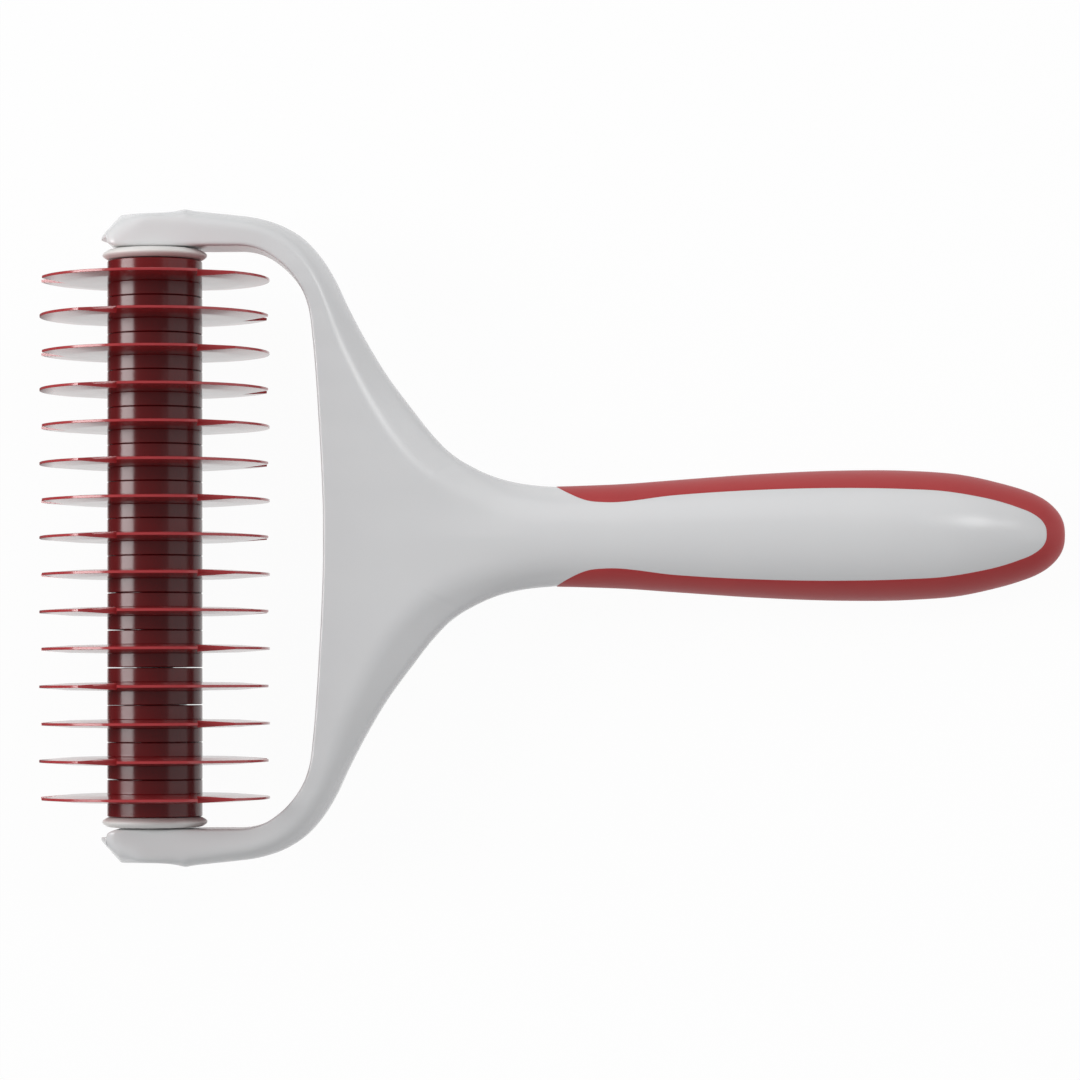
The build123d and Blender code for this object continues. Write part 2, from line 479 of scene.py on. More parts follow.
# The same plastic on the hubs, darker in colour: painted shade of the hubs deep between the blades
SHADED_HUB_POLYPROPYLENE = replace(
    RED_POLYPROPYLENE,
    name="shaded_hub_polypropylene",
    colour="701014",
    shade="660E12",
    roughness=(0.17, 0.22),
    coat=0.0,
    scatter=0.0,
    level=0.4,
    painted_rim_glow="",
)


# Sub-assemblies


@dataclass
class Layout:
    """Where the drum and the fork lie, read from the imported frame, in metres."""

    frame: dict
    cap_play_mm: float = 0.3
    axis: Vector = field(init=False)
    arm_inner: float = field(init=False)
    blade_radius: float = field(init=False)
    blades: list[str] = field(init=False)

    def __post_init__(self) -> None:
        """Reads the drum's axis, the arms' inner faces and the blades."""
        self.axis = Vector(self.frame["joints"][0]["pos_m"])
        self.arm_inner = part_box("right_end_cap")[1].y + self.cap_play_mm * MM
        self.blades = sorted(n for n in self.frame["nodes"] if n.startswith("blade_"))
        self.blade_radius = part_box(self.blades[1])[1].z - self.axis.z

    def at(self, x: float, y: float, z: float = 0.0) -> Vector:
        """The point x along the fork, y across it and z above its middle plane, in millimetres."""
        return self.axis + Vector((x, y, z)) * MM


@dataclass
class HandleForm:
    """The handle's rounded form, from the neck to the blunt end, in millimetres from the axle."""

    layout: Layout
    # Place along the fork, half the width and half the thickness
    stations: tuple[tuple[float, float, float], ...] = (
        (78.2, 9.71, 7.55),
        (91.2, 10.15, 8.32),
        (102.0, 10.90, 9.00),
        (118.0, 12.00, 9.84),
        (134.0, 12.63, 10.20),
        (143.0, 12.63, 10.10),
        (151.0, 12.35, 9.79),
        (157.0, 11.80, 9.33),
        (161.0, 11.08, 8.77),
        (165.0, 10.08, 7.98),
        (169.0, 8.95, 7.05),
        (172.0, 7.78, 6.08),
        (174.0, 6.62, 5.17),
        (175.5, 5.33, 4.17),
        (176.6, 3.95, 3.12),
        (177.3, 2.40, 1.90),
        (177.6, 0.02, 0.02),
    )
    span_steps: int = 9
    rows: list[Vector] = field(init=False)

    def __post_init__(self) -> None:
        """Runs a smooth curve through the stations."""
        self.rows = smooth_path(list(self.stations), self.span_steps)

    def height(self, x: float, y: float) -> float:
        """Finds how far the form's surface stands above the middle plane.

        Args:
            x: Place along the fork, in millimetres from the axle.
            y: Place across it, from the middle line.

        Returns:
            The height in millimetres, 0 outside the form.
        """
        for a, b in zip(self.rows, self.rows[1:]):
            if a.x <= x <= b.x:
                share = (x - a.x) / max(b.x - a.x, TINY)
                width, thickness = a.y + (b.y - a.y) * share, a.z + (b.z - a.z) * share
                return thickness * math.sqrt(max(0.0, 1 - (y / max(width, TINY)) ** 2))
        return 0.0


@dataclass(frozen=True)
class Rung:
    """One line across the fork from its inner to its outer edge, in millimetres.

    The plate is flat at the height face from the inner edge to its crease, which lies at
    crease_share of the way, and falls from there to the height edge at its rim. softness
    rounds the crease. A roundness of 1 makes the section a quarter of an oval instead.
    """

    inner: tuple[float, float]
    crease_share: float
    outer: tuple[float, float]
    face: float
    edge: float
    roundness: float
    softness: float


@dataclass
class ForkMoulding:
    """The white moulding: fork, neck, handle and the two axle eyes."""

    layout: Layout
    handle: HandleForm
    # Roundings and bores, in millimetres
    window_rounding: float = 0.8
    edge_rounding: float = 1.6
    bore_radius: float = 3.05
    bore_depth: float = 4.9
    bore_columns: int = 72
    # The window's wall is rounded by no more than these shares of its plate's width and height
    wall_width_share: float = 0.12
    wall_height_share: float = 0.6
    # Stretches over the wall, its rounding and the plate, and between rungs
    wall_steps: int = 3
    rounding_steps: int = 5
    plate_steps: tuple[int, ...] = (8, 8, 4, 6, 3)
    span_steps: int = 5
    # Up to this place from the eye's tip its inner side is stepped, and rounds straight outwards
    step_end: float = -7.0
    rungs: tuple[Rung, ...] = (
        Rung((-10.40, 58.35), 0.5, (-10.40, 58.80), 0.0, 0.0, 1.0, 0.5),
        Rung((-10.27, 58.32), 0.5, (-10.28, 58.95), 1.65, 0.4, 1.0, 0.5),
        Rung((-9.90, 58.30), 0.5, (-9.90, 59.40), 3.15, 0.8, 1.0, 0.5),
        Rung((-9.45, 58.29), 0.5, (-9.45, 59.90), 4.30, 1.0, 1.0, 0.7),
        Rung((-9.05, 58.27), 0.5, (-9.05, 60.35), 5.05, 1.0, 1.0, 0.9),
        Rung((-8.75, 57.42), 0.64, (-8.75, 60.68), 5.50, 1.0, 1.0, 0.9),
        Rung((-8.30, 57.10), 0.60, (-8.30, 61.22), 6.00, 1.0, 1.0, 1.1),
        Rung((-7.80, 56.86), 0.58, (-7.80, 61.82), 6.40, 1.1, 1.0, 1.3),
        Rung((-7.20, 56.66), 0.58, (-7.20, 62.48), 6.68, 1.4, 0.9, 1.5),
        Rung((-6.50, 56.60), 0.60, (-6.45, 63.16), 6.82, 2.0, 0.7, 1.8),
        Rung((-5.90, 56.60), 0.65, (-5.90, 63.22), 6.90, 2.8, 0.5, 2.0),
        Rung((-4.50, 56.60), 0.72, (-4.60, 63.20), 6.97, 4.2, 0.22, 2.4),
        Rung((-2.50, 56.60), 0.80, (-2.50, 63.16), 7.0, 5.3, 0.0, 2.6),
        Rung((0.0, 56.60), 0.84, (0.0, 63.18), 7.0, 5.8, 0.0, 2.6),
        Rung((2.4, 56.60), 0.83, (2.4, 63.30), 7.0, 5.6, 0.0, 2.6),
        Rung((4.4, 56.60), 0.81, (4.4, 63.54), 7.0, 5.2, 0.0, 2.6),
        Rung((5.8, 56.60), 0.80, (5.8, 63.88), 7.0, 4.9, 0.0, 2.6),
        Rung((6.4, 56.60), 0.80, (6.4, 63.96), 7.0, 4.8, 0.0, 2.6),
        Rung((7.2, 56.60), 0.79, (7.2, 63.80), 7.0, 4.7, 0.0, 2.6),
        Rung((10.4, 56.60), 0.78, (10.8, 63.38), 6.98, 4.4, 0.0, 2.6),
        Rung((14.5, 56.60), 0.75, (15.5, 62.92), 6.90, 4.1, 0.0, 2.6),
        Rung((18.3, 56.5), 0.72, (20.5, 62.25), 6.70, 3.8, 0.0, 2.5),
        Rung((21.5, 55.6), 0.68, (25.0, 60.85), 6.46, 3.6, 0.0, 2.0),
        Rung((24.7, 53.5), 0.63, (29.2, 58.35), 6.33, 3.5, 0.0, 2.0),
        Rung((27.3, 50.8), 0.59, (32.6, 54.75), 6.3, 3.4, 0.0, 2.0),
        Rung((29.2, 47.8), 0.56, (35.3, 50.5), 6.3, 3.4, 0.0, 2.0),
        Rung((30.4, 44.3), 0.54, (37.7, 45.4), 6.3, 3.4, 0.0, 2.0),
        Rung((31.1, 39.0), 0.51, (40.8, 39.4), 6.3, 3.4, 0.0, 2.0),
        Rung((31.7, 32.0), 0.54, (45.1, 32.1), 6.3, 3.4, 0.0, 2.0),
        Rung((32.3, 22.5), 0.59, (50.0, 25.4), 6.3, 3.4, 0.0, 2.0),
        Rung((32.8, 13.0), 0.67, (54.3, 19.9), 6.3, 3.4, 0.0, 2.0),
        Rung((33.1, 4.0), 0.75, (58.0, 16.2), 6.3, 3.4, 0.04, 2.1),
        Rung((33.1, 0.0), 0.785, (60.0, 14.8), 6.3, 3.4, 0.10, 2.2),
    )
    neck: tuple[Rung, ...] = (
        Rung((37.0, 0.0), 0.79, (61.6, 13.9), 6.3, 3.4, 0.16, 2.6),
        Rung((44.0, 0.0), 0.78, (64.2, 12.6), 6.35, 3.4, 0.30, 3.0),
        Rung((53.0, 0.0), 0.78, (67.5, 11.35), 6.45, 3.5, 0.50, 3.0),
        Rung((62.0, 0.0), 0.78, (71.0, 10.5), 6.70, 3.6, 0.75, 3.0),
        Rung((71.0, 0.0), 0.78, (75.0, 9.95), 7.15, 3.8, 0.93, 3.0),
        Rung((78.2, 0.0), 0.78, (78.2, 9.71), 7.55, 3.8, 1.0, 3.0),
    )

    def chain(self, values: Vector, inward: Vector | None) -> list[Vector]:
        """Works out the points of one rung over the upper half.

        Args:
            values: A rung's values, as row() gives them.
            inward: Direction into the material from the window's wall, or None past the window.

        Returns:
            Points from the window's wall, or the middle line, over the face and down to the rim.
        """
        ix, iy, share, ox, oy, face, edge, roundness, softness = values
        start = Vector((ix, iy, face))
        wall = []
        if inward is not None:
            widest = self.wall_width_share * math.hypot(ox - ix, oy - iy)
            soft = min(self.window_rounding, widest, self.wall_height_share * face)
            top = start + inward * soft
            low = Vector((ix, iy, face - soft))
            foot = Vector((ix, iy, 0))
            wall = [foot.lerp(low, k / self.wall_steps) for k in range(self.wall_steps)]
            shares = [k / self.rounding_steps for k in range(self.rounding_steps)]
            wall += [low.lerp(start, t).lerp(start.lerp(top, t), t) for t in shares]
            start = top
        outer = Vector((ox, oy, edge))
        rim = Vector((ox, oy, 0))
        crease = Vector((ix, iy, face)).lerp(Vector((ox, oy, face)), share)
        radii = [softness, self.edge_rounding]
        plate = rounded_path([start, crease, outer, rim], radii, list(self.plate_steps))
        count = len(plate) - 1
        ground = Vector((start.x, start.y, 0))
        bow = [
            ground.lerp(rim, math.sin(math.pi / 2 * k / count))
            + Vector((0, 0, face * math.cos(math.pi / 2 * k / count)))
            for k in range(count + 1)
        ]
        return wall + [p.lerp(q, roundness) for p, q in zip(plate, bow)]

    @staticmethod
    def row(rung: Rung) -> tuple[float, ...]:
        """The values of a rung in one row."""
        places = (*rung.inner, rung.crease_share, *rung.outer)
        return (*places, rung.face, rung.edge, rung.roundness, rung.softness)

    def place(self, points: list[Vector]) -> list[Vector]:
        """Moves points from the fork's own millimetres to the frame."""
        return [self.layout.at(*p) for p in points]

    def quarter(self, bm: bmesh.types.BMesh) -> None:
        """Skins the upper right quarter of fork, neck and handle.

        Args:
            bm: The mesh that gets the quarter.
        """
        rows = [self.row(r) for r in (*self.rungs, *self.neck)]
        turn, steps = len(self.rungs) - 1, self.span_steps
        last = steps * turn
        # One more rung on each side of the middle line keeps both curves smooth where they meet
        across = (rows[turn][0], -rows[turn - 1][1], *rows[turn + 1][2:])
        ahead = (2 * rows[turn][0] - rows[turn + 1][0], 0.0, *rows[turn - 1][2:])
        spans = smooth_path([*rows[: turn + 1], across], steps)[: last + 1]
        spans += smooth_path([ahead, *rows[turn:]], steps)[steps + 1 :]
        arm = []
        for i, values in enumerate(spans[: last + 1]):
            before, after = spans[max(i - 1, 0)], spans[min(i + 1, last)]
            along = Vector((after[0] - before[0], after[1] - before[1], 0)).normalized()
            inward = Vector((-along.y, along.x, 0))
            if values[0] < self.step_end:
                inward = Vector((0, 1, 0))
            if i == last:
                inward = Vector((1, 0, 0))
            arm.append(self.chain(values, inward))
        skin(bm, [self.place(points) for points in arm])
        wall = len(arm[-1]) - len(self.chain(spans[-1], None))
        tail = [arm[-1][wall:]]
        # The face starts a rounding's width behind the window, and that fades along the neck
        window, end = self.rungs[-1].inner[0], self.neck[-1].inner[0]
        for values in spans[last + 1 :]:
            values[0] += self.window_rounding * (end - values[0]) / (end - window)
            tail.append(self.chain(values, None))
        for row in self.handle.rows[1:]:
            oval = replace(
                self.neck[-1], inner=(row.x, 0.0), outer=(row.x, row.y), face=row.z, edge=row.z / 2
            )
            tail.append(self.chain(Vector(self.row(oval)), None))
        skin(bm, [self.place(points) for points in tail])

    def bore(self, piece: bpy.types.Object) -> None:
        """Drills the blind bores for the axle's journals into both eyes.

        Args:
            piece: The moulding.
        """
        bm = bmesh.new()
        near = self.layout.arm_inner - self.bore_depth * MM
        far = self.layout.arm_inner + self.bore_depth * MM
        for side in Side:
            middle = self.layout.axis + Vector((0, side.value * (near + far) / 2, 0))
            bmesh.ops.create_cone(
                bm,
                cap_ends=True,
                segments=self.bore_columns,
                radius1=self.bore_radius * MM,
                radius2=self.bore_radius * MM,
                depth=far - near,
                matrix=Matrix.Translation(middle) @ Matrix.Rotation(math.pi / 2, 4, "X"),
            )
        drill = finished(bm, "bore_drill")
        cut = piece.modifiers.new("bores", "BOOLEAN")
        cut.operation, cut.solver, cut.object = "DIFFERENCE", "EXACT", drill
        seen = piece.evaluated_get(bpy.context.evaluated_depsgraph_get())
        mesh = bpy.data.meshes.new_from_object(seen)
        piece.modifiers.clear()
        piece.data = mesh
        mesh.set_sharp_from_angle(angle=math.radians(CRISP_ANGLE))
        bpy.data.objects.remove(drill)

    def build(self) -> bpy.types.Object:
        """Builds the moulding and puts it in place of its plain solid.

        Returns:
            The moulding.
        """
        bm = bmesh.new()
        self.quarter(bm)
        bmesh.ops.remove_doubles(bm, verts=bm.verts[:], dist=HALVES_WELD * MM)
        mirrored(bm, self.layout.axis, "Z")
        mirrored(bm, self.layout.axis, "Y")
        piece = finished(bm, "fork_moulding")
        self.bore(piece)
        piece.data.materials.append(WHITE_ABS.build())
        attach(piece, "frame")
        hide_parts("fork_handle")
        return piece


@dataclass
class GripBand:
    """The soft red band that wraps the handle's sides and end."""

    layout: Layout
    handle: HandleForm
    # How proud the band stands, how deep its edge is tucked in and how wide that is rounded
    proud: float = 0.10
    tuck: float = 0.45
    lip: float = 0.22
    most_lip_share: float = 0.3
    lip_start_share: float = 0.2
    rung_steps: int = 14
    span_steps: int = 10
    crisp_angle: float = 60.0
    # Each row is a place on the panel's edge and the place on the rim that it runs out to
    edge: tuple[tuple[float, float, float, float], ...] = (
        (78.4, 9.68, 78.45, 9.72),
        (80.4, 8.50, 81.3, 9.76),
        (84.0, 6.90, 85.2, 9.89),
        (88.0, 6.42, 90.2, 10.09),
        (101.4, 7.74, 102.0, 10.90),
        (118.0, 8.70, 118.0, 12.00),
        (133.0, 8.98, 134.0, 12.63),
        (146.0, 8.74, 148.0, 12.50),
        (153.5, 8.30, 157.0, 11.80),
        (159.0, 7.45, 163.5, 10.48),
        (163.8, 6.42, 168.5, 9.10),
        (167.7, 5.20, 172.3, 7.63),
        (170.8, 3.92, 174.8, 6.00),
        (172.5, 2.66, 176.2, 4.50),
        (173.3, 1.38, 177.2, 2.65),
        (173.5, 0.0, 177.6, 0.0),
    )

    def surface(self, x: float, y: float) -> Vector:
        """The point of the handle's form at a place seen from above, in millimetres."""
        return Vector((x, y, self.handle.height(x, y)))

    def rung(self, values: Vector) -> list[Vector]:
        """Works out one line over the band's upper half, from the panel's edge to the rim.

        Args:
            values: The panel edge and the rim as seen from above.

        Returns:
            The line's points.
        """
        px, py, ox, oy = values
        edge, rim = Vector((px, py, 0)), Vector((ox, oy, 0))
        width = max((rim - edge).length, TINY)
        out = (rim - edge) / width
        base = self.surface(px, py)
        start = self.lip_start_share * self.proud
        points = [base - Vector((0, 0, self.tuck)), base + Vector((0, 0, start))]
        lip = min(self.lip / width, self.most_lip_share)
        for k in range(self.rung_steps + 1):
            turn = math.pi / 2 * k / self.rung_steps
            flat = edge.lerp(rim, lip + (1 - lip) * math.sin(turn))
            under = self.surface(flat.x, flat.y) if k < self.rung_steps else rim
            lift = out * math.sin(turn) + Vector((0, 0, math.cos(turn)))
            points.append(under + lift * self.proud)
        return [self.layout.at(*p) for p in points]

    def build(self) -> bpy.types.Object:
        """Builds the band and puts it in place of its plain solid.

        Returns:
            The band.
        """
        bm = bmesh.new()
        spans = smooth_path(list(self.edge), self.span_steps)
        skin(bm, [self.rung(values) for values in spans])
        mirrored(bm, self.layout.axis, "Z")
        mirrored(bm, self.layout.axis, "Y")
        piece = finished(bm, "soft_grip_band", self.crisp_angle)
        piece.data.materials.append(RED_RUBBER.build())
        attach(piece, "frame")
        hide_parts("grip_band")
        return piece


@dataclass
class BladeDrum:
    """The stack of notched blade wheels with its end caps and axle."""

    layout: Layout
    # Facets round a wheel, and rows over its side and over its bevel
    columns: int = 240
    side_steps: int = 4
    bevel_steps: int = 8
    crisp_angle: float = 30.0
    # The hub ring, the boss on the key, the web between them, and the gaps of an even stack
    hub_radius: float = 9.25
    hub_wall: float = 1.5
    boss_radius: float = 6.2
    bore_radius: float = 4.08
    web_thickness: float = 1.8
    hub_rounding: float = 0.12
    root_fillet: float = 0.1
    seam_gap: float = 0.13
    boss_play: float = 0.04
    # How far each seam between two hubs stands open, from the right end on: at the front and
    # towards the fork
    seams: tuple[tuple[float, float], ...] = (
        *[(0.1, 0.1)] * 8,
        (0.18, 0.08),
        (0.22, 0.06),
        (0.2, 0.2),
        (0.06, 0.20),
        (0.1, 0.1),
        (0.22, 0.06),
    )
    # The blade at its hub, where its bevel starts and at its rim
    root_thickness: float = 1.7
    bevel_thickness: float = 1.4
    rim_thickness: float = 0.5
    rim_bevel_depth: float = 0.07
    rim_bevel_width: float = 0.05
    # A notch steps in at lead_angle and runs out over span_angle. The drum rests at rest_angle
    notches: int = 3
    notch_depth: float = 5.6
    notch_wall_turn: float = 0.02
    lead_angle: float = 20.0
    span_angle: float = 21.5
    rest_angle: float = 6.5
    # How much of a hub's end leans, and how closely points are told apart
    lean_width: float = 0.25
    tolerance: float = 0.01
    # The end caps
    cap_bevel: float = 1.15
    cap_lean_share: float = 0.36
    cap_rounding: float = 0.5
    cap_columns: int = 128

    def thickness(self, radius: float) -> float:
        """Works out the blade's thickness, which falls to the bevel and faster to the rim.

        Args:
            radius: Distance from the axle, in millimetres.

        Returns:
            The thickness in millimetres.
        """
        rim = self.layout.blade_radius / MM
        bevel = rim - self.notch_depth
        if radius > bevel:
            share = (radius - bevel) / (rim - bevel)
            return self.bevel_thickness + (self.rim_thickness - self.bevel_thickness) * share
        share = (radius - self.hub_radius) / (bevel - self.hub_radius)
        return self.root_thickness + (self.bevel_thickness - self.root_thickness) * share

    def profile(self, pitch: float) -> list[tuple[float, float]]:
        """Works out a wheel's section from its bore to the rim and back.

        Args:
            pitch: Distance from wheel to wheel, in millimetres.

        Returns:
            Radius and place along the axle of each point, in millimetres.
        """
        rim = self.layout.blade_radius / MM
        bevel = rim - self.notch_depth
        hub, inside = self.hub_radius, self.hub_radius - self.hub_wall
        boss_half, hub_half = (pitch - self.boss_play) / 2, (pitch - self.seam_gap) / 2
        soft, fillet = self.hub_rounding, self.root_fillet
        upper = [
            (self.bore_radius, boss_half),
            (self.boss_radius, boss_half),
            (self.boss_radius, self.web_thickness / 2),
            (inside, self.web_thickness / 2),
            (inside, hub_half),
            (hub - soft, hub_half),
            (hub, hub_half - soft),
            (hub, hub_half / 2),
            (hub, self.root_thickness / 2 + fillet),
            (hub + fillet, self.root_thickness / 2),
        ]
        steps = self.side_steps
        radii = [hub + (bevel - hub) * k / steps for k in range(1, steps + 1)]
        steps, high = self.bevel_steps, rim - self.rim_bevel_depth
        radii += [bevel + (high - bevel) * k / steps for k in range(1, steps + 1)]
        upper += [(r, self.thickness(r) / 2) for r in radii]
        upper += [(rim, self.rim_thickness / 2 - self.rim_bevel_width)]
        lower = [(r, -y) for r, y in reversed(upper)]
        return upper + lower

    def cut_notches(self, bm: bmesh.types.BMesh) -> None:
        """Draws the blade in to the step and the floor of each saw-tooth notch.

        Args:
            bm: A whole wheel round the origin, with its mirror line along Z.
        """
        rim = self.layout.blade_radius / MM
        low = rim - self.notch_depth
        spacing = 360 / self.columns
        lead, end = math.radians(self.lead_angle), math.radians(self.lead_angle + self.span_angle)
        foot = Vector((rim * math.cos(lead) - self.notch_depth, rim * math.sin(lead)))
        run = Vector((rim * math.cos(end), rim * math.sin(end))) - foot
        sector = 360 / self.notches
        wall_foot = math.degrees(math.atan2(foot.y, foot.x)) + self.notch_wall_turn
        columns = round(self.lead_angle / spacing)
        first = (columns + 1) * spacing
        rim_half = self.rim_thickness / 2 - self.rim_bevel_width
        for v in bm.verts:
            radius = math.hypot(v.co.x, v.co.z) / MM
            turn = math.degrees(math.atan2(v.co.x, v.co.z))
            angle = turn % sector
            if round(angle / spacing) <= columns:
                step = math.degrees(math.asin(foot.y / max(radius, foot.length)))
                place = angle * step / (columns * spacing)
            else:
                place = wall_foot + (angle - first) * (sector - wall_foot) / (sector - first)
                ray = Vector((math.cos(math.radians(place)), math.sin(math.radians(place))))
                floor = (foot.x * run.y - foot.y * run.x) / (ray.x * run.y - ray.y * run.x)
                if radius > low - self.tolerance and place < self.lead_angle + self.span_angle:
                    on_rim = abs(abs(v.co.y / MM) - rim_half) < self.tolerance
                    radius = low + (floor - low) * (radius - low) / (rim - low)
                    half = self.thickness(radius) / 2 - (self.rim_bevel_width if on_rim else 0.0)
                    v.co.y = math.copysign(half * MM, v.co.y)
            place = math.radians(turn - angle + place)
            v.co.x, v.co.z = radius * MM * math.sin(place), radius * MM * math.cos(place)

    def wheel_mesh(self, pitch: float) -> bpy.types.Mesh:
        """Makes the one blade wheel that all others are copies of.

        Args:
            pitch: Distance from wheel to wheel, in millimetres.

        Returns:
            The mesh, round the origin, with its mirror line along Z.
        """
        bm = bmesh.new()
        rows = [(r * MM, y * MM) for r, y in self.profile(pitch)]
        spun(bm, rows + rows[:1], Vector(), self.columns)
        bmesh.ops.remove_doubles(bm, verts=bm.verts[:], dist=WELD * MM)
        self.cut_notches(bm)
        shape = finished(bm, "wheel_pattern", self.crisp_angle)
        mesh = shape.data
        bpy.data.objects.remove(shape)
        # Faces on the hub take the darker copy of the plastic: painted shade
        hub = (self.hub_radius + self.root_fillet) * MM
        for face in mesh.polygons:
            face.material_index = int(math.hypot(face.center.x, face.center.z) < hub)
        return mesh

    def shifts(self) -> list[float]:
        """Works out how far each wheel has slid along the axle in the loose stack.

        Returns:
            The ways of the wheels from the right end on, in millimetres, evened out about 0.
        """
        slid = [0.0]
        for gaps in self.seams:
            slid.append(slid[-1] + self.seam_gap - sum(gaps) / 2)
        middle = sum(slid) / len(slid)
        return [value - middle for value in slid]

    def lean_hub(
        self, mesh: bpy.types.Mesh, centre: Vector, half: float, gaps: tuple[float, float]
    ) -> None:
        """Leans the left end face of a hub, so that its seam opens on one side.

        Args:
            mesh: The wheel's own mesh, in place.
            centre: The wheel's centre.
            half: Half the wheel's width along the axle.
            gaps: The seam's gap towards the front and towards the fork, in millimetres.
        """
        slope = (gaps[1] - gaps[0]) / 2 / self.hub_radius
        inside = (self.hub_radius - self.hub_wall - self.tolerance) * MM
        for v in mesh.vertices:
            away = v.co - centre
            if away.y < self.lean_width * MM - half and math.hypot(away.x, away.z) > inside:
                v.co.y += slope * away.x

    def wheel(
        self, node: str, number: int, mesh: bpy.types.Mesh, dress: list[bpy.types.Material]
    ) -> bpy.types.Object:
        """Puts one wheel on the axle, turned over where its number is even.

        Args:
            node: The plain solid that it replaces.
            number: Its place from the right end, from 1.
            mesh: The pattern wheel.
            dress: The materials of its blade and its hub.

        Returns:
            The wheel.
        """
        low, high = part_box(node)
        slid = self.shifts()[number - 1] * MM
        place = Vector((self.layout.axis.x, (low.y + high.y) / 2 + slid, self.layout.axis.z))
        rest = Matrix.Rotation(math.radians(self.rest_angle), 4, "Y")
        flip = Matrix.Rotation(0.0 if number % 2 else math.pi, 4, "Z")
        own = mesh.copy()
        own.transform(Matrix.Translation(place) @ rest @ flip)
        if number <= len(self.seams):
            self.lean_hub(own, place, (high.y - low.y) / 2, self.seams[number - 1])
        for finish in dress:
            own.materials.append(finish)
        piece = bpy.data.objects.new(f"{node}_wheel", own)
        bpy.context.scene.collection.objects.link(piece)
        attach(piece, "drum")
        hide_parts(node)
        return piece

    def cap(self, node: str, side: Side, dress: bpy.types.Material) -> bpy.types.Object:
        """Turns one flanged end cap with its rounded rim.

        Args:
            node: The plain solid that it replaces.
            side: Which end of the drum it closes.
            dress: Its material.

        Returns:
            The cap.
        """
        low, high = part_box(node)
        near, far = (low.y, high.y) if side is Side.RIGHT else (high.y, low.y)
        rim = high.z - self.layout.axis.z
        bore = self.bore_radius * MM
        bevel, lean = self.cap_bevel * MM, (far - near) * self.cap_lean_share
        corners = [
            (bore, near),
            (rim - bevel, near),
            (rim, near + lean),
            (rim, far - lean),
            (rim - bevel, far),
            (bore, far),
        ]
        profile = turned_profile(corners, self.cap_rounding * MM)
        centre = Vector((self.layout.axis.x, 0, self.layout.axis.z))
        bm = bmesh.new()
        spun(bm, profile + profile[:1], centre, self.cap_columns)
        piece = finished(bm, f"{node}_flange")
        piece.data.materials.append(dress)
        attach(piece, "drum")
        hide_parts(node)
        return piece

    def build(self) -> list[bpy.types.Object]:
        """Builds wheels and caps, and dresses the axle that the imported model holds.

        Returns:
            The new pieces.
        """
        # The caps and the axle take the lighter, warmer copy of the white: painted light
        white = BRIGHTENED_TRIM_ABS.build()
        axle_place = (self.layout.axis.x, self.layout.axis.z)
        red = [replace(RED_POLYPROPYLENE, axle=axle_place).build(), SHADED_HUB_POLYPROPYLENE.build()]
        boxes = [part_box(n) for n in self.layout.blades[:2]]
        pitch = abs(boxes[0][0].y - boxes[1][0].y) / MM
        mesh = self.wheel_mesh(pitch)
        made = [
            self.wheel(node, number, mesh, red)
            for number, node in enumerate(self.layout.blades, start=1)
        ]
        made.append(self.cap("left_end_cap", Side.LEFT, white))
        made.append(self.cap("right_end_cap", Side.RIGHT, white))
        axle = self.layout.frame["nodes"]["drum_axle"]
        axle.data.materials.clear()
        axle.data.materials.append(white)
        return made


@dataclass(frozen=True)
class SoftBox:
    """One soft box: its place from the drum's middle and its size, in metres, and its power."""

    name: str
    place: tuple[float, float, float]
    size: tuple[float, float]
    watts: float

    def hang(self, axis: Vector) -> None:
        """Hangs the soft box so that it faces the cutter.

        Args:
            axis: The drum's middle.
        """
        light = bpy.data.lights.new(self.name, "AREA")
        light.shape = "RECTANGLE"
        light.size, light.size_y = self.size
        light.energy = self.watts
        lamp = bpy.data.objects.new(self.name, light)
        lamp.visible_camera = False
        place = Vector(self.place)
        lamp.location = axis + place
        lamp.rotation_euler = (-place).to_track_quat("-Z", "Y").to_euler()
        bpy.context.scene.collection.objects.link(lamp)


